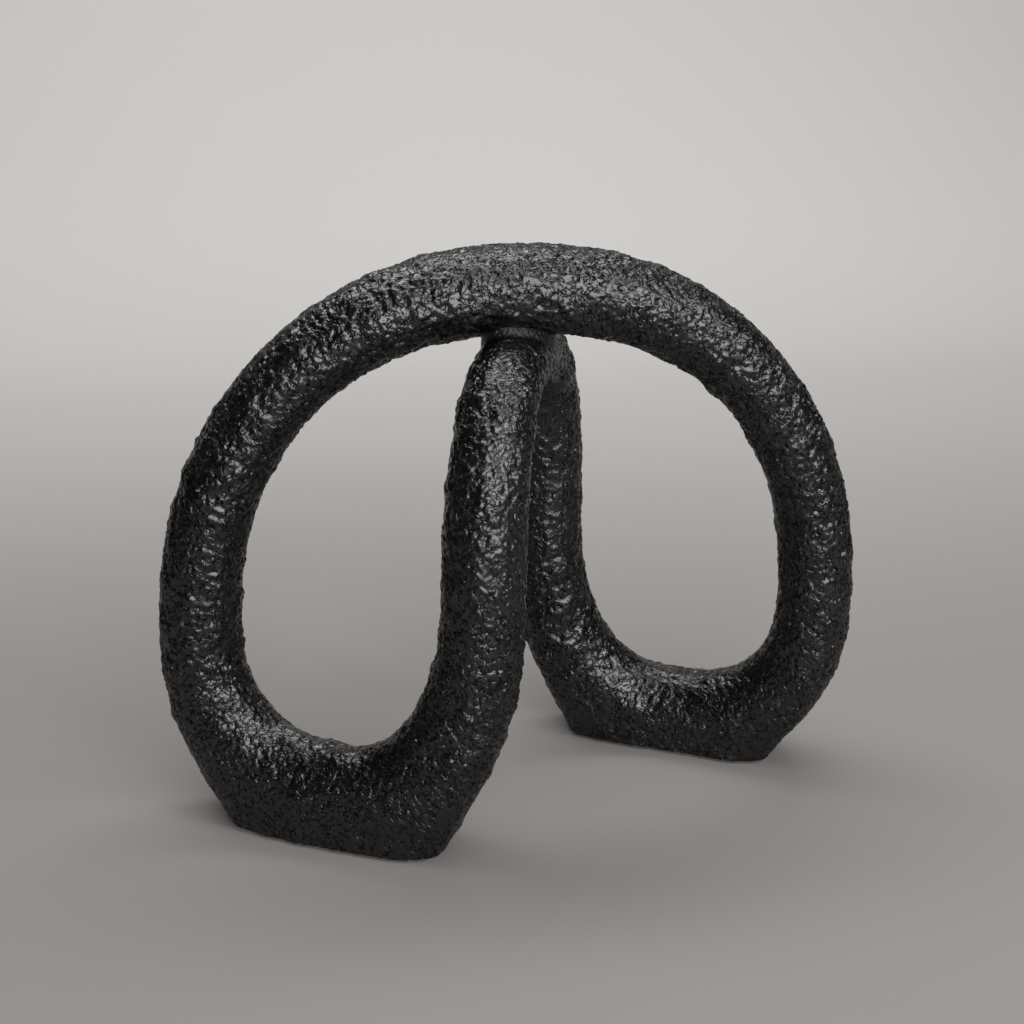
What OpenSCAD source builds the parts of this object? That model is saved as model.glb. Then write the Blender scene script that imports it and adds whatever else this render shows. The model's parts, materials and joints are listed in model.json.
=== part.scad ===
// Abstract loop sculpture for a table or shelf.
// One endless tube is folded into a figure of eight: a wide outer arch, two feet that turn round
// as flat-based loops, and a narrow inner arch that is bonded under the crown of the outer one.
// The tube is cast in four lengths, which are joined by steel dowels and stand on felt pads. Its
// skin is worked by hand into low lumps, which run on across the joints.
// Millimetres, +Z up. The outer arch stands in the XZ plane, the front foot is at -X and -Y, and
// the origin is on the table, halfway between the feet.

/* [Outer arch] */
// Overall width of the sculpture, across both sides of the arch
width = 300; // [270:1:330]
// Height of the joint where the arch stands on each foot
arch_joint_z = 78; // [70:1:90]
// Height of the tube centre at the crown of the arch
arch_crown_z = 225; // [205:1:240]
// Squareness of the arch, where 2 is an ellipse and more is squarer
arch_squareness = 2.2; // [1.9:0.1:2.6]
// Tube radius at the crown of the arch
arch_crown_r = 18; // [15:0.5:20]
// Tube radius at the joint of the arch and the front foot
front_side_r = 17; // [15:0.5:19]
// Tube radius at the joint of the arch and the rear foot
rear_side_r = 16; // [14:0.5:18]
// Thinning of the tube at the shoulders, midway between the crown and the joints
arch_waist = 1.1; // [0:0.1:2]

/* [Inner arch] */
// Distance of each leg's centre from the middle of the sculpture
leg_reach = 53.5; // [46:0.5:62]
// Angle in plan between the outer arch and the line through both legs
leg_angle = 67; // [58:1:76]
// Height of the joint where each leg stands on its foot
leg_joint_z = 106; // [95:1:115]
// Squareness of the inner arch, where 2 is an ellipse and more is squarer
inner_squareness = 2.5; // [2:0.1:3]
// Tube radius at the joints of the legs
leg_r = 17; // [14:0.5:19]
// Tube radius at the crown of the inner arch
inner_crown_r = 14.5; // [13:0.5:17]
// Depth of the saddle that lets the inner crown into the underside of the outer arch
saddle_depth = 4; // [3:0.5:4.5]

/* [Feet] */
// Height of the tube's centre line at the bottom of the feet
foot_centre_z = 13; // [10:1:18]
// Squareness of the feet's curve, where 2 is an ellipse and more is squarer
foot_squareness = 2.3; // [1.9:0.1:2.6]
// Distance that the bottom of a foot stands out from the line between its two joints
foot_splay = 6; // [2:0.5:12]
// Extra stand-out towards the leg, taken off again towards the arch
foot_lean = 3.5; // [0:0.5:8]
// Half the width of a foot, across its base
foot_half_w = 17; // [15:0.5:23]
// Thickness of the front foot above its centre line
front_foot_rise = 28; // [22:0.5:32]
// Thickness of the rear foot above its centre line
rear_foot_rise = 22.5; // [20:0.5:30]
// Depth of the feet below their centre line, before the base is cut flat
foot_fall = 50; // [36:1:60]
// Suddenness of the feet's swelling upwards and sideways
foot_swell = 1.3; // [1.1:0.1:3]
// Suddenness of the feet's swelling down to the base
base_swell = 8.5; // [5:0.5:11]
// Squareness of the lower half of a foot's section at its base
base_squareness = 3.2; // [2:0.1:4]

/* [Skin] */
// Height of the hand-worked lumps, from their hollows to their crests
lump_h = 1.4; // [0:0.1:2]
// Distance between the lumps
lump_pitch = 17; // [14:1:24]

/* [Joints] */
// Diameter of the steel dowels
dowel_d = 8; // [6:0.5:10]
// Length of the dowels between the feet and the arches
dowel_l = 40; // [24:1:48]
// Length of the dowel through the saddle
saddle_dowel_l = 24; // [16:1:26]
// Chamfer on the ends of the dowels
dowel_chamfer = 1; // [0.5:0.1:2]
// Room for adhesive round a dowel
dowel_clearance = 0.15; // [0.1:0.05:0.3]
// Room for adhesive past each end of a dowel
dowel_end_gap = 0.5; // [0.3:0.1:1]
// Film of adhesive in the saddle and along the putty
bond_gap = 0.2; // [0.1:0.05:0.4]
// Width of the putty bead that fills the crevice round the saddle
collar_w = 3; // [2:0.5:4]
// Thickness to which the putty is wiped down over the inner crown
putty_t = 2; // [1.5:0.25:4]

/* [Base pads] */
// Thickness of the felt pads
pad_t = 1.5; // [1:0.5:3]
// Distance of a pad's edge inside the edge of the base
pad_inset = 0.5; // [0:0.25:3]

/* [Hidden] */

$fn = 48;

// Colours of the painted resin, the painted putty, the steel and the felt
resin_black = "#1c1c1d";
putty_black = "#2c2c2d";
steel_grey = "#9a9da1";
felt_brown = "#5d524a";

// Facets round the tube, and along the outer arch, the inner arch and a foot
tube_sides = 24;
arch_rings = 90;
inner_rings = 44;
foot_rings = 46;
// Turn on either side of a ring over which the tube's direction is measured
aim_step = 0.25;
// Suddenness of the change from the joint radius to the crown radius
tube_swell = 2;
// Turn of each curve at its ends, and at its crown or the bottom of a foot
front_end = 180;
middle = 90;
rear_end = 0;
// Squareness of a circle
circle = 2;
// Height of the wave that the lumps follow, from its hollows to its crests, which lie at the corners
// and in the middle of cubes of this size
wave_height = 4;
wave_pitch = 2 * lump_pitch / sqrt(3);
// Distance that a cut runs past the face that it opens
overcut = 1;
// Half the size of the block that cuts the bases flat
cut_half = width;

// Underside of the outer arch at its crown, and the inner arch's crown centre below it
crossing_z = arch_crown_z - arch_crown_r;
inner_crown_z = crossing_z + saddle_depth - inner_crown_r;
crossing = [0, 0, crossing_z];

// Half length and half width of the patch where the two crowns run into each other
patch_size = sqrt(2 * saddle_depth / (1 / arch_crown_r + 1 / inner_crown_r));
patch_half_l = patch_size / sin(leg_angle / 2);
patch_half_w = patch_size / cos(leg_angle / 2);

// Distance from the crossing over which the skin is wiped smooth with the putty
wiped_reach = patch_half_l + collar_w;
// Distance from the crossing to which the cuts there take the tubes
cut_reach = 2 * wiped_reach;

// Distance of the tube's centre from the middle of the sculpture, at the two sides of the arch
front_span = width / 2 - front_side_r;
rear_span = width / 2 - rear_side_r;

// Joints of a foot at -X. The rear foot is drawn there too, and then turned round
front_joint = [-front_span, 0, arch_joint_z];
rear_joint = [-rear_span, 0, arch_joint_z];
leg_way = [-cos(leg_angle), -sin(leg_angle), 0];
leg_joint = leg_reach * leg_way + [0, 0, leg_joint_z];

function level(v) = [v.x, v.y, 0];

function unit(v) = v / norm(v);

// Point at a turn from the X axis, on a rounded square of half width 1
function superellipse(turn, squareness) =
    let (reach = pow(abs(cos(turn)), squareness) + pow(abs(sin(turn)), squareness))
    pow(reach, -1 / squareness) * [cos(turn), sin(turn)];

// Size that grows from the ends of a curve to its middle
function swollen(turn, at_ends, at_middle, suddenness) =
    at_ends + (at_middle - at_ends) * pow(sin(turn), suddenness);

// Centre line of the outer arch, from its front joint to its rear joint
arch_line = function (turn)
    let (
        p = superellipse(turn, arch_squareness),
        span = turn > middle ? front_span : rear_span
    )
    [span * p.x, 0, arch_joint_z + (arch_crown_z - arch_joint_z) * p.y];

// Tube radius along the outer arch
function arch_r(turn) =
    let (side_r = turn > middle ? front_side_r : rear_side_r)
    swollen(turn, side_r, arch_crown_r, tube_swell) - arch_waist * pow(sin(2 * turn), 2);

// Centre line of the inner arch, from the front leg's joint to the rear leg's joint
inner_line = function (turn)
    let (p = superellipse(turn, inner_squareness))
    -leg_reach * p.x * leg_way + [0, 0, leg_joint_z + (inner_crown_z - leg_joint_z) * p.y];

// Horizontal way across a foot, away from the sculpture
function foot_out(joint) =
    let (along = unit(level(leg_joint - joint)))
    [along.y, -along.x, 0];

// Centre line of a foot, from its joint with the arch to its joint with the leg
function foot_line(joint) = function (turn)
    let (
        p = superellipse(turn, foot_squareness),
        top = turn > middle ? arch_joint_z : leg_joint_z,
        stand_out = (foot_splay + foot_lean * cos(turn)) * pow(sin(turn), 2)
    )
    level(joint + leg_joint) / 2 + p.x * level(leg_joint - joint) / 2
        + stand_out * foot_out(joint) + [0, 0, top - (top - foot_centre_z) * p.y];

// Height of the lumps at a place on the skin. They are a wave in space that a half turn leaves as
// it is, so that they run on across the joints, at the rear foot too
function lump(p) =
    let (
        q = 360 * p / wave_pitch,
        wave = cos(q.x) * cos(q.y) + cos(q.y) * cos(q.z) + cos(q.z) * cos(q.x),
        unwiped = max(0, min(1, (norm(p - crossing) - wiped_reach) / lump_pitch))
    )
    lump_h * unwiped * wave / wave_height;

// Turns of a curve's rings, from its front end to its rear end
function turns(rings) = [for (k = [0 : rings]) front_end + (rear_end - front_end) * k / rings];

// Those of them that lie near the crossing
function turns_near(line, rings) =
    [for (turn = turns(rings)) if (norm(line(turn) - crossing) < cut_reach) turn];

// Ring of points round a centre line: half_w to both sides, then its reach inside and outside the
// bend, with the squareness of its outside half
function ring(line, turn, side, half_w, inside, outside, squareness = circle) =
    let (
        ahead = unit(line(turn - aim_step) - line(turn + aim_step)),
        across = unit(side - (side * ahead) * ahead),
        away = cross(ahead, across)
    )
    [
        for (i = [0 : tube_sides - 1])
            let (
                a = 360 * i / tube_sides,
                p = superellipse(a, sin(a) > 0 ? squareness : circle),
                reach = half_w * p.x * across + (sin(a) > 0 ? outside : inside) * p.y * away
            )
            line(turn) + reach + lump(line(turn) + reach) * unit(reach)
    ];

// Closed tube through a list of rings
module tube(rings) {
    n = tube_sides;
    last = len(rings) - 1;
    start_cap = [for (i = [0 : n - 1]) i];
    end_cap = [for (i = [n - 1 : -1 : 0]) last * n + i];
    wall = [
        for (k = [0 : last - 1], i = [0 : n - 1])
            let (j = (i + 1) % n, low = k * n, high = low + n)
            each [[low + i, high + i, high + j], [low + i, high + j, low + j]]
    ];
    polyhedron([for (r = rings) each r], concat([start_cap, end_cap], wall));
}

// Outer arch through some of its rings, grown by a film of adhesive where it is a cutter
module arch_tube(turns, grow = 0)
    tube([
        for (turn = turns)
            let (r = arch_r(turn) + grow)
            ring(arch_line, turn, [0, 1, 0], r, r, r)
    ]);

// Inner arch through some of its rings, grown by adhesive or putty
module inner_tube(turns, grow = 0)
    tube([
        for (turn = turns)
            let (r = swollen(turn, leg_r, inner_crown_r, tube_swell) + grow)
            ring(inner_line, turn, cross([0, 0, 1], leg_way), r, r, r)
    ]);

// Foot as it leaves the mould, before its base is cut
module foot_tube(joint, side_r, rise)
    tube([
        for (turn = turns(foot_rings))
            let (r = side_r + (leg_r - side_r) * (front_end - turn) / (front_end - rear_end))
            ring(
                foot_line(joint), turn, foot_out(joint),
                swollen(turn, r, foot_half_w, foot_swell),
                swollen(turn, r, rise, foot_swell),
                swollen(turn, r, foot_fall, base_swell),
                swollen(turn, circle, base_squareness, tube_swell)
            )
    ]);

module front_foot_tube() foot_tube(front_joint, front_side_r, front_foot_rise);

module rear_foot_tube() foot_tube(rear_joint, rear_side_r, rear_foot_rise);

// The two arches where they cross, each with its film of adhesive
module arch_cutter() arch_tube(turns_near(arch_line, arch_rings), bond_gap);

module inner_cutter(grow = bond_gap) inner_tube(turns_near(inner_line, inner_rings), grow);

module half_turn() rotate([0, 0, 180]) children();

// Steel pin with chamfered ends, upright with its middle on a joint
module dowel(joint, length)
    color(steel_grey)
    translate(joint)
    rotate_extrude()
    polygon([
        [0, -length / 2],
        [dowel_d / 2 - dowel_chamfer, -length / 2],
        [dowel_d / 2, dowel_chamfer - length / 2],
        [dowel_d / 2, length / 2 - dowel_chamfer],
        [dowel_d / 2 - dowel_chamfer, length / 2],
        [0, length / 2]
    ]);

// Hole for half a dowel, which runs up or down from its joint and opens past the joint's face
module dowel_bore(joint, length, up) {
    depth = length / 2 + dowel_end_gap;
    translate(joint - [0, 0, up ? overcut : depth])
        cylinder(d = dowel_d + 2 * dowel_clearance, h = depth + overcut);
}

module outer_arch()
    color(resin_black)
    difference() {
        arch_tube(turns(arch_rings));
        dowel_bore(front_joint, dowel_l, true);
        half_turn() dowel_bore(rear_joint, dowel_l, true);
        dowel_bore(crossing, saddle_dowel_l, true);
    }

module inner_arch()
    color(resin_black)
    difference() {
        inner_tube(turns(inner_rings));
        arch_cutter();
        dowel_bore(leg_joint, dowel_l, true);
        half_turn() dowel_bore(leg_joint, dowel_l, true);
        dowel_bore(crossing, saddle_dowel_l, false);
    }

// Foot with its base cut flat for the felt and its joints bored
module foot_loop(joint)
    color(resin_black)
    difference() {
        children();
        translate([-cut_half, -cut_half, pad_t - cut_half])
            cube([2 * cut_half, 2 * cut_half, cut_half]);
        dowel_bore(joint, dowel_l, false);
        dowel_bore(leg_joint, dowel_l, false);
    }

module front_foot_loop() foot_loop(front_joint) front_foot_tube();

module rear_foot_loop() half_turn() foot_loop(rear_joint) rear_foot_tube();

// Putty that fills the crevice between the two crowns to an oval edge, wiped down over the inner one
module crossing_collar()
    color(putty_black)
    difference() {
        intersection() {
            translate([0, 0, crossing_z - inner_crown_r / 2])
                linear_extrude((inner_crown_r + arch_crown_r) / 2)
                rotate(leg_angle / 2)
                polygon([
                    for (i = [0 : tube_sides - 1])
                        let (a = 360 * i / tube_sides)
                        [(patch_half_l + collar_w) * cos(a), (patch_half_w + collar_w) * sin(a)]
                ]);
            inner_cutter(putty_t);
        }
        arch_cutter();
        inner_cutter();
    }

module crossing_dowel() dowel(crossing, saddle_dowel_l);

module front_arch_dowel() dowel(front_joint, dowel_l);

module rear_arch_dowel() half_turn() dowel(rear_joint, dowel_l);

module front_leg_dowel() dowel(leg_joint, dowel_l);

module rear_leg_dowel() half_turn() dowel(leg_joint, dowel_l);

// Felt that is cut to the outline of a foot's base
module base_pad()
    color(felt_brown)
    linear_extrude(pad_t)
    offset(delta = -pad_inset)
    projection(cut = true)
    translate([0, 0, -pad_t])
    children();

module front_base_pad() base_pad() front_foot_tube();

module rear_base_pad() half_turn() base_pad() rear_foot_tube();

outer_arch();
inner_arch();
front_foot_loop();
rear_foot_loop();
crossing_collar();
crossing_dowel();
front_arch_dowel();
rear_arch_dowel();
front_leg_dowel();
rear_leg_dowel();
front_base_pad();
rear_base_pad();
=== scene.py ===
# %% [markdown]
# Black loop sculpture
#
# This is a table ornament in cast resin: one endless tube, folded into an outer arch, two feet
# with flat bases, and an inner arch bonded under the outer one. Its solids come from the CAD
# model as a fixed frame. This lesson gives them the hammered skin, the paint, the felt and the
# light that the real one has.

# %% Load the frame
import json
from math import cos, pi, radians, sin

import bpy
import numpy as np
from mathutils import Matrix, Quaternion, Vector

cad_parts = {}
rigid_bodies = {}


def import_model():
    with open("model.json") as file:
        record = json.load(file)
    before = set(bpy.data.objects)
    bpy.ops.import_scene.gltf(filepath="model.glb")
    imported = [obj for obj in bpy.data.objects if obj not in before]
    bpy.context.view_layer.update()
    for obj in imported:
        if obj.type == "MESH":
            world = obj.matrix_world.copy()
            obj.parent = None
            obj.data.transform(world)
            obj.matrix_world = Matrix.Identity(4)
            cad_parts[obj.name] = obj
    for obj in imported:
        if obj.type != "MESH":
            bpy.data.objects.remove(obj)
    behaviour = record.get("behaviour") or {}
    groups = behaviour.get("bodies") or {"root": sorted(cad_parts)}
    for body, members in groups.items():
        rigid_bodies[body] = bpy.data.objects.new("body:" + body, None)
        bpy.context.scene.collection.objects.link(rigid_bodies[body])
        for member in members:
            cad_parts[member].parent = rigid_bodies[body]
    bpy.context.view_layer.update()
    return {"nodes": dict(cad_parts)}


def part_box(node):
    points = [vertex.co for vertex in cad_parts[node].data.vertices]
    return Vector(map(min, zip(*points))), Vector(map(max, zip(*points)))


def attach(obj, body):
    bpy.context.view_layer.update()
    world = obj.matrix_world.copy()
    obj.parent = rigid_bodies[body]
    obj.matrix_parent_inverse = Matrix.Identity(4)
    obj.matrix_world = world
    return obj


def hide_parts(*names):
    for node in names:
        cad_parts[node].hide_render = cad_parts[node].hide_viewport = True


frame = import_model()
nodes = frame["nodes"]
mm = 0.001
print("CAD nodes:", sorted(nodes))

# %% [markdown]
# The camera
#
# The camera comes first, because every look is judged through it. The picture was taken with a
# normal lens from a little over twice the sculpture's width away, a little above it and a little
# to the left of its front. The camera could be placed by eye, but a few pixels of error show in the
# gaps of the loop, so its values were found by fitting the outline of the CAD loop to the outline
# in the picture. The camera is turned towards an aim point inside the loop, and then rolled by less
# than a degree.

# %% Camera
picture_px = 1024
focal_px = 1582.6
sensor_mm = 36
aim = Vector((-1.93, 0.31, 129.5)) * mm
distance = 664.2 * mm
azimuth = radians(9.18)
elevation = radians(21.46)
roll = radians(0.8)

back = Vector((-cos(elevation) * sin(azimuth), -cos(elevation) * cos(azimuth), sin(elevation)))
bpy.ops.object.camera_add(location=aim + distance * back)
camera = bpy.context.object
camera.rotation_mode = "QUATERNION"
camera.rotation_quaternion = (-back).to_track_quat("-Z", "Y") @ Quaternion((0, 0, 1), roll)
camera.data.sensor_width = sensor_mm
camera.data.lens = sensor_mm * focal_px / picture_px
bpy.context.scene.camera = camera
print("camera at", [round(x / mm) for x in camera.location], "mm, lens", round(camera.data.lens, 1))

# %% [markdown]
# Tools for shaping
#
# Blender's operators act on what is selected, as a hand does on the piece in front of it. These
# few helpers pick pieces, select vertices by their place, apply a modifier, rebuild a piece on an
# even grid, cut a piece level, throw away loose islands and copy solids. The triangles of a CAD
# solid are loose, so the vertices of a copy that lie in the same place are merged.

# %% Helpers for shaping
same_place = 0.001 * mm


def pick(*pieces):
    """Selects some pieces and nothing else. The first becomes the active one."""
    bpy.ops.object.select_all(action="DESELECT")
    for piece in pieces:
        piece.select_set(True)
    bpy.context.view_layer.objects.active = pieces[0]


def places(piece):
    """The places of a piece's vertices, as rows of x, y and z."""
    spots = np.empty(3 * len(piece.data.vertices), np.float32)
    piece.data.vertices.foreach_get("co", spots)
    return spots.reshape(-1, 3)


def everywhere(piece):
    """Chooses every vertex of a piece."""
    return np.ones(len(piece.data.vertices))


def edit_where(piece, chosen):
    """Opens a piece in edit mode, with the vertices selected that a list of yes and no chooses."""
    pick(piece)
    bpy.ops.object.mode_set(mode="EDIT")
    bpy.ops.mesh.select_mode(type="VERT")
    bpy.ops.mesh.select_all(action="DESELECT")
    bpy.ops.object.mode_set(mode="OBJECT")
    piece.data.vertices.foreach_set("select", np.asarray(chosen, bool))
    bpy.ops.object.mode_set(mode="EDIT")
    bpy.ops.mesh.select_mode(type="VERT")


def done():
    """Leaves edit mode."""
    bpy.ops.object.mode_set(mode="OBJECT")


def apply(piece, kind, **settings):
    """Adds a modifier with its settings and applies it."""
    modifier = piece.modifiers.new(kind.title(), kind)
    for name, value in settings.items():
        setattr(modifier, name, value)
    pick(piece)
    bpy.ops.object.modifier_apply(modifier=modifier.name)


def remesh(piece, grid, passes):
    """Rebuilds a piece as one closed skin on an even grid, and smooths it in a number of passes."""
    apply(piece, "REMESH", mode="VOXEL", voxel_size=grid, use_smooth_shade=True)
    apply(piece, "SMOOTH", factor=0.5, iterations=passes)


def saw(piece, height, keep_above, chosen):
    """Cuts the chosen part of a piece level at a height, keeps one side and closes the cut."""
    edit_where(piece, chosen)
    bpy.ops.mesh.bisect(
        plane_co=(0, 0, height), plane_no=(0, 0, 1), use_fill=True,
        clear_inner=keep_above, clear_outer=not keep_above,
    )
    done()


def keep_island(piece, chosen):
    """Deletes every part of a piece that isn't joined to the chosen vertices."""
    edit_where(piece, chosen)
    bpy.ops.mesh.select_linked()
    bpy.ops.mesh.select_all(action="INVERT")
    bpy.ops.mesh.delete(type="VERT")
    done()


def copies(name, *sources):
    """One new piece made of copies of other pieces, with the doubles of their triangles merged."""
    made = []
    for source in sources:
        piece = bpy.data.objects.new(name, source.data.copy())
        bpy.context.scene.collection.objects.link(piece)
        piece.data.materials.clear()
        made.append(piece)
    pick(*made)
    if len(made) > 1:
        bpy.ops.object.join()
    piece = bpy.context.object
    piece.name = name
    edit_where(piece, everywhere(piece))
    bpy.ops.mesh.remove_doubles(threshold=same_place)
    done()
    return piece


print("helpers ready")

# %% [markdown]
# The hammered relief
#
# The real skin was worked by hand before it was cast: plates of two to four millimetres with
# dark cracks between them, over slow dents and swellings. A bump map would leave the outline
# smooth, so the relief is real geometry. The castings are remeshed into a fine even grid, and
# Displace modifiers move that grid by textures that are read in the sculpture's own space. So the
# relief runs on across the joints, where paint hides the butt seams. An empty turns and stretches
# that space, so the plates are half as long again along one slanting direction, as the worker's
# hand moved. Each step of the relief has a texture, its depth, and the mean of the texture, which
# leaves the skin where it is.

# %% Textures of the relief
def relief_texture(name, kind, size, **settings):
    """A texture for the relief, with the size of its grain in metres."""
    texture = bpy.data.textures.new(name, kind)
    texture.noise_scale = size
    for key, value in settings.items():
        setattr(texture, key, value)
    return texture


dents = relief_texture("dents", "CLOUDS", 7 * mm, noise_type="SOFT_NOISE", noise_depth=1)
plates = relief_texture("plates", "CLOUDS", 3.6 * mm, noise_type="HARD_NOISE", noise_depth=1)
cracks = relief_texture("cracks", "DISTORTED_NOISE", 3.0 * mm, noise_basis="VORONOI_CRACKLE",
                        noise_distortion="IMPROVED_PERLIN", distortion=1.0)

stroke_slant = (0, radians(-35), 0)
stroke_stretch = (1, 1, 1.5)
bpy.ops.object.empty_add()
hand_stroke = bpy.context.object
hand_stroke.name = "hand_stroke"
hand_stroke.rotation_euler = stroke_slant
hand_stroke.scale = stroke_stretch
bpy.context.view_layer.update()

relief_steps = [
    (dents, 0.8 * mm, 0.5),
    (plates, 1.2 * mm, 0.3),
    (cracks, 0.4 * mm, 0.8),
]
print("relief of", [(t.name, round(d / mm, 2)) for t, d, mean in relief_steps])

# %% [markdown]
# Round the crossing a finger or a cloth wiped the putty, and with it the top of the inner arch.
# Down at the bases the hand pressed less. A vertex group holds how much of the relief each place
# has.

# %% Hammer the relief
skin_grid = 0.85 * mm
facet_passes = 16
low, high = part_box("crossing_dowel")
crossing = (low + high) / 2
wiped_reach = [14 * mm, 22 * mm]
wiped_relief = [0.4, 1]
calm_height = [20 * mm, 65 * mm]
calm_relief = [0.7, 1]


def hammer(piece, wiped):
    """Gives a piece an even fine grid, rounds its facets and works the relief into it."""
    remesh(piece, skin_grid, facet_passes)
    spots = places(piece)
    share = np.interp(spots[:, 2], calm_height, calm_relief)
    if wiped:
        from_crossing = np.linalg.norm(spots - np.array(crossing), axis=1)
        share *= np.interp(from_crossing, wiped_reach, wiped_relief)
    worked = piece.vertex_groups.new(name="worked")
    worked.add(range(len(spots)), 1, "REPLACE")
    for i in np.flatnonzero(share < 1):
        worked.add([int(i)], float(share[i]), "REPLACE")
    for texture, depth, mean in relief_steps:
        apply(piece, "DISPLACE", texture=texture, texture_coords="OBJECT",
              texture_coords_object=hand_stroke, strength=depth, mid_level=mean,
              vertex_group="worked")


print("crossing at", [round(x / mm, 1) for x in crossing], "mm")

# %% [markdown]
# The four castings
#
# The loop is cast in four lengths. To let the relief run on over each joint, a skin is made over
# a casting together with its neighbours, and is then sawn at the joint. The dowels go into the
# mix, so that the remesh finds no holes, and the bores are drilled again at the end. The feet's
# bases are first drawn down a few millimetres and later sawn flat, which gives the crisp edge that
# a cast foot has after its base is ground. A face counts as level where its normal is upright to
# nine parts in ten. The upright of a foot that leads to the outer arch lies further out than six
# tenths of the arch's reach.

# %% Skins over the castings
arch_joint_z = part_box("outer_arch")[0].z
leg_joint_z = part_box("inner_arch")[0].z
base_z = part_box("front_foot_loop")[0].z
base_spare = 6 * mm
stub = 18 * mm
level = 0.9
base_tolerance = 0.1 * mm
inner_share = 0.6
side_x = inner_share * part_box("outer_arch")[1].x


def deepen_bases(piece):
    """Extrudes the flat faces of the bases downwards."""
    pick(piece)
    bpy.ops.object.mode_set(mode="EDIT")
    bpy.ops.mesh.select_mode(type="FACE")
    bpy.ops.mesh.select_all(action="DESELECT")
    done()
    for face in piece.data.polygons:
        face.select = face.normal.z < -level and face.center.z < base_z + base_tolerance
    bpy.ops.object.mode_set(mode="EDIT")
    bpy.ops.mesh.extrude_region_move(TRANSFORM_OT_translate={"value": (0, 0, -base_spare)})
    done()


feet = [nodes["front_foot_loop"], nodes["rear_foot_loop"]]
dowels = [nodes[name] for name in sorted(nodes) if name.endswith("_dowel")]
arch_skin = copies("arch_skin", nodes["outer_arch"], *feet, *dowels)
hammer(arch_skin, wiped=False)
print("arch skin:", len(arch_skin.data.polygons), "faces")

stubs = copies("stubs", nodes["outer_arch"])
saw(stubs, arch_joint_z + stub, False, everywhere(stubs))
leg_skin = copies("leg_skin", nodes["inner_arch"], *feet, *dowels, stubs)
deepen_bases(leg_skin)
hammer(leg_skin, wiped=True)
bpy.data.objects.remove(stubs)
print("leg skin:", len(leg_skin.data.polygons), "faces")

# %% [markdown]
# A casting is a length sawn out of a skin. Each cut is filled at once, so that the casting stays a
# closed solid. What belongs to its neighbours is no longer joined to it then, and is thrown away.

# %% Saw the skins into castings
outer_arch = copies("cast_outer_arch", arch_skin)
saw(outer_arch, arch_joint_z, True, everywhere(outer_arch))
spots = places(outer_arch)
keep_island(outer_arch, spots[:, 2] == spots[:, 2].max())

inner_arch = copies("cast_inner_arch", leg_skin)
saw(inner_arch, leg_joint_z, True, everywhere(inner_arch))
spots = places(inner_arch)
keep_island(inner_arch, spots[:, 2] == spots[:, 2].max())


def cast_foot(name, side):
    """A foot: sawn off the leg, then off the arch, then flat at its base. Side is -1 or 1."""
    foot = copies(name, leg_skin)
    saw(foot, leg_joint_z, False, everywhere(foot))
    spots = places(foot)
    keep_island(foot, side * spots[:, 0] == (side * spots[:, 0]).max())
    spots = places(foot)
    upright = (side * spots[:, 0] > side_x) & (spots[:, 2] > arch_joint_z - stub)
    saw(foot, arch_joint_z, False, upright)
    saw(foot, base_z, True, everywhere(foot))
    return foot


front_foot = cast_foot("cast_front_foot", -1)
rear_foot = cast_foot("cast_rear_foot", 1)
castings = [outer_arch, inner_arch, front_foot, rear_foot]
for skin in (arch_skin, leg_skin, hand_stroke):
    bpy.data.objects.remove(skin)
print("castings:", [piece.name for piece in castings])

# %% [markdown]
# The bores
#
# Each dowel sits in a bore with a film of adhesive round it and past its ends. The CAD solids have
# these bores too, but a remesh would round them off, so they are drilled last. Each dowel has a
# drill of its own. The drills are joined into one cutter, which a Boolean modifier takes away from
# every casting, so both halves of a bore are in line.

# %% Drill the bores
round_sides = 48
film = 0.15 * mm
end_gap = 0.5 * mm
drills = []
for dowel in dowels:
    low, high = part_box(dowel.name)
    bpy.ops.mesh.primitive_cylinder_add(
        vertices=round_sides, radius=(high.x - low.x) / 2 + film,
        depth=high.z - low.z + 2 * end_gap, location=(low + high) / 2,
    )
    drills.append(bpy.context.object)
pick(*drills)
bpy.ops.object.transform_apply(location=True)
bpy.ops.object.join()
drill = bpy.context.object
for piece in castings:
    apply(piece, "BOOLEAN", object=drill, operation="DIFFERENCE", solver="MANIFOLD")
    piece.data.calc_loop_triangles()
    print(piece.name, len(piece.data.loop_triangles), "triangles")
bpy.data.objects.remove(drill)

# %% [markdown]
# The putty and the felt
#
# The crevice round the saddle is filled with putty, and a finger wiped along it leaves a fillet
# that feathers out on both arches. Smoothing does the same to a mesh: a ball is cut out of the two
# arches and the putty between them, remeshed as one body and smoothed, which fills its hollows.
# What then stands out from the arches is the bead. A core wider than the dowel's bore is cut out of
# it, and the small fillings in the dips of the skin are thrown away, so that one ring is left.

# %% Putty bead
putty_reach = 26 * mm
core_r = 6 * mm
fine_grid = 0.5 * mm
wiping_passes = 14
ball_sides = 64
bpy.ops.mesh.primitive_uv_sphere_add(
    segments=ball_sides, ring_count=ball_sides // 2, radius=putty_reach, location=crossing,
)
ball = bpy.context.object
bpy.ops.object.transform_apply(location=True)
arches = [copies("arch_blank", nodes["outer_arch"]), copies("leg_blank", nodes["inner_arch"])]
putty_bead = copies("putty_bead", *arches, nodes["crossing_collar"])
apply(putty_bead, "BOOLEAN", object=ball, operation="INTERSECT", solver="MANIFOLD")
remesh(putty_bead, fine_grid, wiping_passes)
bpy.ops.mesh.primitive_cylinder_add(
    vertices=round_sides, radius=core_r, depth=2 * putty_reach, location=crossing,
)
core = bpy.context.object
bpy.ops.object.transform_apply(location=True)
for cutter in (*arches, core):
    apply(putty_bead, "BOOLEAN", object=cutter, operation="DIFFERENCE", solver="MANIFOLD")
collar = places(nodes["crossing_collar"])
rim = collar[np.argmax(np.linalg.norm(collar[:, :2], axis=1))]
from_rim = np.linalg.norm(places(putty_bead) - rim, axis=1)
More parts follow.
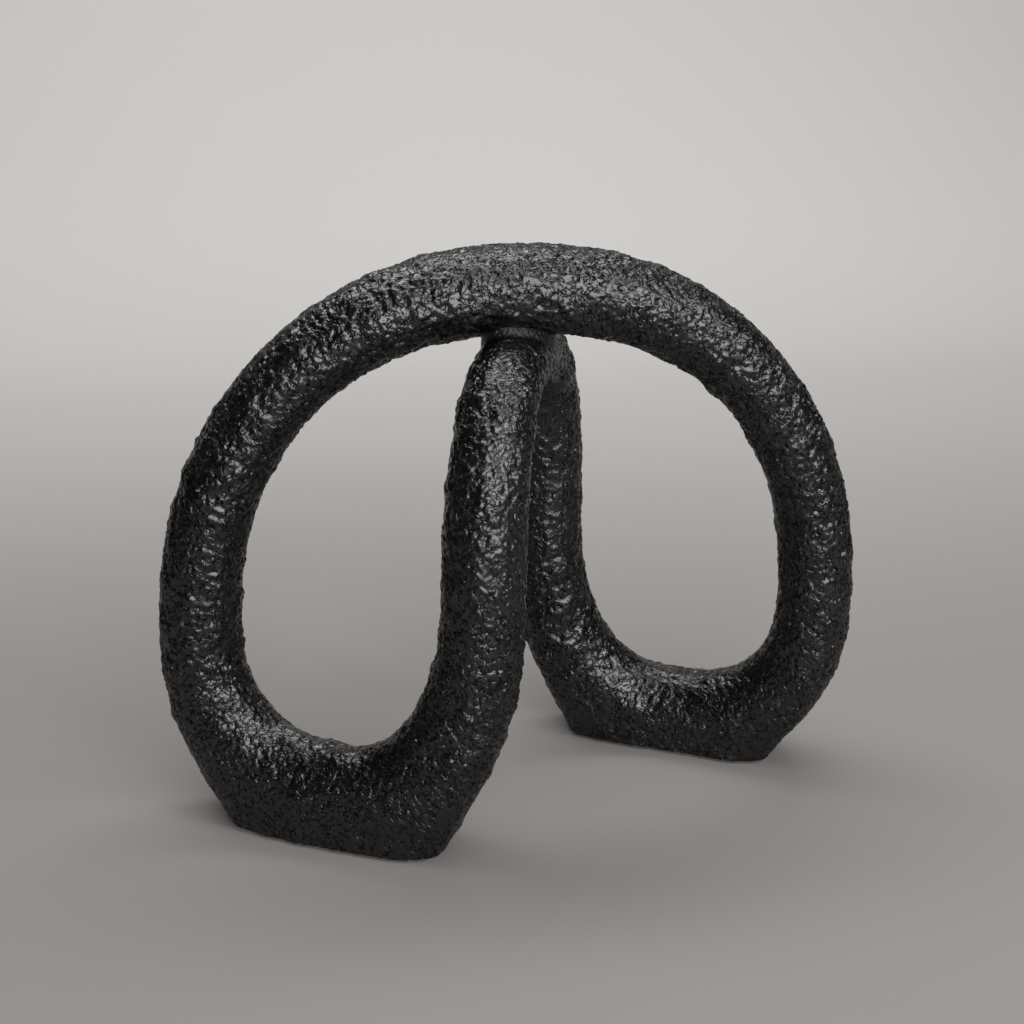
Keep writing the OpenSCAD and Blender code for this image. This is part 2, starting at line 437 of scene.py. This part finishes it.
keep_island(putty_bead, from_rim == from_rim.min())
spots = places(putty_bead)
print("putty from", (spots.min(axis=0) / mm).round(1), "to", (spots.max(axis=0) / mm).round(1))
for blank in (ball, core, *arches):
    bpy.data.objects.remove(blank)

# %% [markdown]
# Felt is pressed out of loose wool and cut with a knife, so its edges are soft and its faces have a
# low fuzz. Hair could draw single fibres, but they are much finer than a pixel. Here a remesh and
# some smoothing round the edges of the CAD pad, and a Displace modifier raises the fuzz.

# %% Felt pads
fuzz = relief_texture("fuzz", "CLOUDS", 1.5 * mm, noise_type="SOFT_NOISE", noise_depth=1)
fuzz_height = 0.06 * mm
fuzz_mean = 0.4
edge_passes = 4


def felt_pad(name, node):
    """A felt pad with soft edges and low fuzz."""
    pad = copies(name, node)
    remesh(pad, fine_grid, edge_passes)
    apply(pad, "DISPLACE", texture=fuzz, texture_coords="LOCAL", strength=fuzz_height,
          mid_level=fuzz_mean)
    return pad


front_felt = felt_pad("front_felt", nodes["front_base_pad"])
rear_felt = felt_pad("rear_felt", nodes["rear_base_pad"])
for piece in (putty_bead, front_felt, rear_felt):
    print(piece.name, len(piece.data.polygons), "faces")

# %% [markdown]
# Materials
#
# A colour is written as six hex digits, as in a paint program, and turned into the linear values
# that Blender works with. One helper adds a node with its settings and its links. The patterns are
# read in the Object coordinates, in metres, so a scale of one divided by a size draws grains of
# that size. A noise mostly lies between a low and a high value, which are stretched to the range
# that a material needs.

# %% Colours and nodes
noise_low = 0.3
noise_high = 0.7


def colour(text):
    """Linear RGBA of an sRGB colour that is written as six hex digits."""
    parts = [int(text[i:i + 2], 16) / 255 for i in (0, 2, 4)]
    return [c / 12.92 if c <= 0.04045 else ((c + 0.055) / 1.055) ** 2.4 for c in parts] + [1]


def add(tree, kind, links=None, **settings):
    """Adds a node, sets its properties and input values, and links other nodes' outputs to it."""
    node = tree.nodes.new("ShaderNode" + kind)
    for name, value in settings.items():
        setattr(node, name, value)
    for name, value in (links or {}).items():
        if isinstance(value, bpy.types.NodeSocket):
            tree.links.new(value, node.inputs[name])
        else:
            node.inputs[name].default_value = value
    return node


def new_material(name):
    """An empty material: its node tree, its coordinates and its shader."""
    material = bpy.data.materials.new(name)
    material.use_nodes = True
    tree = material.node_tree
    shader = tree.nodes["Principled BSDF"]
    return material, tree, shader, add(tree, "TexCoord").outputs["Object"]


print("a middle grey is", [round(c, 3) for c in colour("808080")], "in linear values")

# %% [markdown]
# Black enamel
#
# The resin is sprayed with satin black enamel. Its pigment swallows nearly all the light that
# enters, so the eye sees hardly any colour in it. What it sees is the clear film on top, which
# mirrors about a twentieth of the studio: the lamps on the plates that face them, and the dim floor
# on the others. On the plates the film mirrors fully. In the cracks its mirroring is turned down
# almost to nothing: that is painted shade, for the shade that falls into them, so they stay dark.
# The plates' own small creases are too fine for the grid of the relief, so they are a bump map,
# which leans the same way as the strokes of the hand. They are drawn at 3 mm, a little coarser
# than the real ones, or they would fall between the pixels. Just under the crown, where the leg's
# top was rubbed smooth, the creases are shallower, and on the upper legs the painted crack shade is
# left out, so the cracks there mirror as the plates do. Both fade between a near and a far
# distance from a centre.

# %% Black enamel
black = colour("040404")
film_ior = 1.6
film_roughness = [0.22, 0.34]
patch_size = 12 * mm
pebble_size = 3 * mm
crease_depth = 1.6 * mm
plate_rise = 0.07
plate_rounding = 0.05
crack_width = 0.05
# Painted shade: the cracks mirror almost nothing, standing in for the shade that falls into them.
plate_shine = 0.54
painted_crack_shade = 0.06
rubbed_centre = crossing - Vector((0, 0, 25 * mm))
rubbed_reach = [15 * mm, 32 * mm]
rubbed_relief = 0.4
# Round this centre, on the upper legs, the painted crack shade is left out.
no_crack_shade_centre = crossing - Vector((0, 0, 65 * mm))
no_crack_shade_reach = [50 * mm, 75 * mm]

enamel, tree, shader, spot = new_material("satin_black_enamel_on_resin")
stroke = add(tree, "Mapping", {"Vector": spot, "Rotation": stroke_slant, "Scale": stroke_stretch},
             vector_type="TEXTURE").outputs["Vector"]
pebble = add(tree, "TexNoise", {"Vector": stroke, "Scale": 1 / pebble_size, "Detail": 2,
                                "Roughness": 0.55})
dome = add(tree, "Math", {0: pebble.outputs["Fac"], 1: 0.5}, operation="SUBTRACT")
crease = add(tree, "Math", {0: dome.outputs["Value"]}, operation="ABSOLUTE")
flat = add(tree, "Math", {0: crease.outputs["Value"], 1: plate_rise, 2: plate_rounding},
           operation="SMOOTH_MIN")
rubbed = add(tree, "VectorMath", {0: spot, 1: rubbed_centre}, operation="DISTANCE")
pressed = add(tree, "MapRange", {"Value": rubbed.outputs["Value"], "From Min": rubbed_reach[0],
                                 "From Max": rubbed_reach[1], "To Min": rubbed_relief,
                                 "To Max": 1})
bump = add(tree, "Bump", {"Height": flat.outputs["Value"], "Strength": pressed.outputs["Result"],
                          "Distance": crease_depth})
from_no_crack_shade_centre = add(tree, "VectorMath", {0: spot, 1: no_crack_shade_centre}, operation="DISTANCE")
crack = add(tree, "MapRange", {"Value": from_no_crack_shade_centre.outputs["Value"], "From Min": no_crack_shade_reach[0],
                               "From Max": no_crack_shade_reach[1], "To Min": plate_shine,
                               "To Max": painted_crack_shade})
# Mirroring level: full on the plates, turned down in the cracks as painted shade.
plate = add(tree, "MapRange", {"Value": crease.outputs["Value"], "From Max": crack_width,
                               "To Min": crack.outputs["Result"], "To Max": plate_shine},
            interpolation_type="SMOOTHSTEP")
patch = add(tree, "TexNoise", {"Vector": spot, "Scale": 1 / patch_size, "Detail": 2})
gloss = add(tree, "MapRange", {"Value": patch.outputs["Fac"], "From Min": noise_low,
                               "From Max": noise_high, "To Min": film_roughness[0],
                               "To Max": film_roughness[1]})
tree.links.new(gloss.outputs["Result"], shader.inputs["Roughness"])
tree.links.new(plate.outputs["Result"], shader.inputs["Specular IOR Level"])
tree.links.new(bump.outputs["Normal"], shader.inputs["Normal"])
shader.inputs["Base Color"].default_value = black
shader.inputs["IOR"].default_value = film_ior
print(enamel.name, "has", len(tree.nodes), "nodes")

# %% [markdown]
# Painted putty
#
# The putty under the crown has the same paint. It could share the enamel's material, but then
# plates and cracks would run over it. A finger rubbed it down while it was soft, so it has only a
# fine grain that is drawn out level, the way the finger went. It spreads the light more than the
# enamel does, and the bead looks duller.

# %% Painted putty
putty_grain = 1.6 * mm
wipe_stretch = (1.4, 1.4, 1)
grain_depth = 1.4 * mm
putty_roughness = [0.35, 0.5]
putty_shine = 0.35

putty, tree, shader, spot = new_material("painted_putty")
wipe = add(tree, "Mapping", {"Vector": spot, "Scale": wipe_stretch}, vector_type="TEXTURE")
grain = add(tree, "TexNoise", {"Vector": wipe.outputs["Vector"], "Scale": 1 / putty_grain,
                               "Detail": 3})
gloss = add(tree, "MapRange", {"Value": grain.outputs["Fac"], "From Min": noise_low,
                               "From Max": noise_high, "To Min": putty_roughness[0],
                               "To Max": putty_roughness[1]})
bump = add(tree, "Bump", {"Height": grain.outputs["Fac"], "Strength": 1.0,
                          "Distance": grain_depth})
tree.links.new(gloss.outputs["Result"], shader.inputs["Roughness"])
tree.links.new(bump.outputs["Normal"], shader.inputs["Normal"])
shader.inputs["Base Color"].default_value = black
shader.inputs["IOR"].default_value = film_ior
shader.inputs["Specular IOR Level"].default_value = putty_shine
print(putty.name, "has", len(tree.nodes), "nodes")

# %% [markdown]
# Steel rod
#
# The dowels are cut from drawn steel rod. The die leaves fine lines along the rod, which draw its
# highlight out into a band round it. A noise that is stretched along the rod gives both the lines
# and their gloss. The real lines are a tenth of a millimetre wide, and are drawn coarser here. The
# dowels are in their bores, and are seen when the loop is taken apart.

# %% Steel
line_width = 0.5 * mm
line_stretch = (1, 1, 40)
line_depth = 0.05 * mm
rod_roughness = [0.25, 0.45]

steel, tree, shader, spot = new_material("drawn_steel_rod")
drawn = add(tree, "Mapping", {"Vector": spot, "Scale": line_stretch}, vector_type="TEXTURE")
lines = add(tree, "TexNoise", {"Vector": drawn.outputs["Vector"], "Scale": 1 / line_width,
                               "Detail": 3})
gloss = add(tree, "MapRange", {"Value": lines.outputs["Fac"], "From Min": noise_low,
                               "From Max": noise_high, "To Min": rod_roughness[0],
                               "To Max": rod_roughness[1]})
bump = add(tree, "Bump", {"Height": lines.outputs["Fac"], "Strength": 0.5,
                          "Distance": line_depth})
tree.links.new(gloss.outputs["Result"], shader.inputs["Roughness"])
tree.links.new(bump.outputs["Normal"], shader.inputs["Normal"])
shader.inputs["Base Color"].default_value = colour("9a9da1")
shader.inputs["Metallic"].default_value = 1
print(steel.name, "has", len(tree.nodes), "nodes")

# %% [markdown]
# Felt
#
# The pads are pressed wool felt. Its tangled fibres send light back in all directions, so it is
# matt and mottled, with a soft pale rim where the fuzz stands up, which the shader's sheen gives.
# The fibres are too fine to show, and are drawn as tufts of 0.7 mm.

# %% Felt
tuft_size = 0.7 * mm
tuft_depth = 0.3 * mm

felt, tree, shader, spot = new_material("pressed_wool_felt")
fibres = add(tree, "TexNoise", {"Vector": spot, "Scale": 1 / tuft_size, "Detail": 4,
                                "Roughness": 0.7})
tone = add(tree, "ValToRGB", {"Fac": fibres.outputs["Fac"]})
tone.color_ramp.elements[0].position = noise_low
tone.color_ramp.elements[0].color = colour("2b2520")
tone.color_ramp.elements[1].position = noise_high
tone.color_ramp.elements[1].color = colour("5a5048")
bump = add(tree, "Bump", {"Height": fibres.outputs["Fac"], "Strength": 1.0,
                          "Distance": tuft_depth})
tree.links.new(tone.outputs["Color"], shader.inputs["Base Color"])
tree.links.new(bump.outputs["Normal"], shader.inputs["Normal"])
shader.inputs["Roughness"].default_value = 0.95
shader.inputs["Sheen Weight"].default_value = 0.3
print(felt.name, "has", len(tree.nodes), "nodes")

# %% [markdown]
# The pieces in the frame
#
# Each piece stands in for one solid of the CAD model, keeps its place and gets its material.
# All of them belong to the one body of the sculpture, because nothing on it moves. The dowels are
# plain rods, so the CAD solids are kept and only get their steel. Edges sharper than the crisp
# angle, such as those of the ground bases and the bores, stay sharp in the shading.

# %% Put the pieces in the frame
crisp_angle = radians(75)
finished = [
    (outer_arch, "outer_arch", "painted_resin", enamel),
    (inner_arch, "inner_arch", "painted_resin", enamel),
    (front_foot, "front_foot_loop", "painted_resin", enamel),
    (rear_foot, "rear_foot_loop", "painted_resin", enamel),
    (putty_bead, "crossing_collar", "putty", putty),
    (front_felt, "front_base_pad", "felt", felt),
    (rear_felt, "rear_base_pad", "felt", felt),
]
for piece, node, slot, material in finished:
    pick(piece)
    bpy.ops.object.shade_smooth_by_angle(angle=crisp_angle)
    piece.data.materials.clear()
    piece.data.materials.append(material)
    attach(piece, "root")
    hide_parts(node)
for dowel in dowels:
    dowel.data.materials.clear()
    dowel.data.materials.append(steel)
print(len(finished), "pieces replace CAD solids,", len(dowels), "dowels are kept")

# %% [markdown]
# The felt pads are sheets, each cut flat to the outline of the base that it is glued under. The
# plan of each pad, its x and y, is only taken here and centred on its middle.

for pad, foot in ((front_felt, front_foot), (rear_felt, rear_foot)):
    plan = places(pad)[:, :2]
    plan = plan - plan.mean(axis=0)

# %% [markdown]
# The studio
#
# The sculpture stands on a sweep: a plain floor that turns up into a wall in one wide curve, so
# that no edge shows behind the loop. It is one plane, whose back edge is extruded upwards and then
# bevelled into the curve. Its sizes are in metres.

# %% Sweep
sweep_side = 24
wall_y = 1.1
wall_height = 3
curve_reach = 0.5
curve_steps = 24
bpy.ops.object.select_all(action="DESELECT")
bpy.ops.mesh.primitive_plane_add(size=sweep_side, location=(0, wall_y - sweep_side / 2, 0))
floor = bpy.context.object
floor.name = "floor"
bpy.ops.object.transform_apply(location=True)
edit_where(floor, places(floor)[:, 1] > wall_y - mm)
bpy.ops.mesh.extrude_region_move(TRANSFORM_OT_translate={"value": (0, 0, wall_height)})
done()
spots = places(floor)
edit_where(floor, (spots[:, 1] > wall_y - mm) & (spots[:, 2] < mm))
bpy.ops.mesh.bevel(offset=curve_reach, segments=curve_steps, affect="EDGES")
done()
pick(floor)
bpy.ops.object.shade_smooth()
print("sweep of", len(floor.data.polygons), "faces, wall at", wall_y, "m")

# %% [markdown]
# The sweep is painted matt, because a glossy floor would mirror the lamps. The paint is a warm grey
# under the sculpture and grows paler towards the back, so that the dark crown stands out from it.
# One material with a colour that follows the depth does this without a seam.

# %% Floor paint
grade_end = 0.9

floor_paint, tree, shader, spot = new_material("matt_floor_paint")
depth = add(tree, "SeparateXYZ", {"Vector": spot})
grade = add(tree, "MapRange", {"Value": depth.outputs["Y"], "From Max": grade_end},
            interpolation_type="SMOOTHSTEP")
shade = add(tree, "ValToRGB", {"Fac": grade.outputs["Result"]})
shade.color_ramp.elements[0].color = colour("807d7b")
shade.color_ramp.elements[1].color = colour("c3c1bf")
tree.links.new(shade.outputs["Color"], shader.inputs["Base Color"])
shader.inputs["Roughness"].default_value = 0.8
shader.inputs["Specular IOR Level"].default_value = 0.1
floor.data.materials.append(floor_paint)
print(floor_paint.name, "has", len(tree.nodes), "nodes")

# %% [markdown]
# The lamps are softboxes, whose even faces the enamel mirrors. A bare bulb would leave only sparks
# on it. The key lights the upright tubes, the right one their right sides, and the two strips
# overhead the crown and the feet. Each has a radiance, the brightness of its face, from which the
# watts follow.

# %% Lamps
sculpture = Vector((0, 0, 0.12))


def softbox(name, place, width, height, radiance):
    """A softbox with an even radiance that looks at the sculpture, placed and sized in metres."""
    bpy.ops.object.light_add(type="AREA", location=place)
    lamp = bpy.context.object
    lamp.name = name
    lamp.data.shape = "RECTANGLE"
    lamp.data.size = width
    lamp.data.size_y = height
    lamp.data.energy = radiance * pi * width * height
    lamp.rotation_mode = "QUATERNION"
    lamp.rotation_quaternion = (sculpture - Vector(place)).to_track_quat("-Z", "Y")
    return lamp


lamps = [
    softbox("key", place=(0.28, -1.22, 0.58), width=1.1, height=0.95, radiance=5.8),
    softbox("right", place=(1.0, -0.55, 0.85), width=0.6, height=0.6, radiance=3.8),
    softbox("front_strip", place=(-0.1, -0.14, 1.32), width=1.5, height=0.28, radiance=5.6),
    softbox("back_strip", place=(0, 0.45, 1.3), width=1.5, height=0.28, radiance=8.6),
]
print("lamps in watts:", {lamp.name: round(lamp.data.energy, 1) for lamp in lamps})

# %% [markdown]
# The studio's own light is dim, and a little brighter on the side of the lamps. It fills the
# shadows, and is what the enamel mirrors between the lamps. One even colour could do that too, but
# the tube would look flat in it, so the light has a soft gradient.

# %% Studio light
lamp_side = (0, -0.6, 0.8)
glow_start = 0.3
glow_range = [0.02, 0.1]
world = bpy.data.worlds.new("studio")
bpy.context.scene.world = world
world.use_nodes = True
tree = world.node_tree
sky = tree.nodes["Background"]
look = add(tree, "TexCoord").outputs["Generated"]
facing = add(tree, "VectorMath", {0: look, 1: lamp_side}, operation="DOT_PRODUCT")
glow = add(tree, "MapRange", {"Value": facing.outputs["Value"], "From Min": glow_start,
                              "To Min": glow_range[0], "To Max": glow_range[1]},
           interpolation_type="SMOOTHSTEP")
tree.links.new(glow.outputs["Result"], sky.inputs["Strength"])
sky.inputs["Color"].default_value = colour("f2f4f6")
bpy.context.scene.view_settings.view_transform = "Standard"
print("studio lit by", len(lamps), "lamps and the world", world.name)
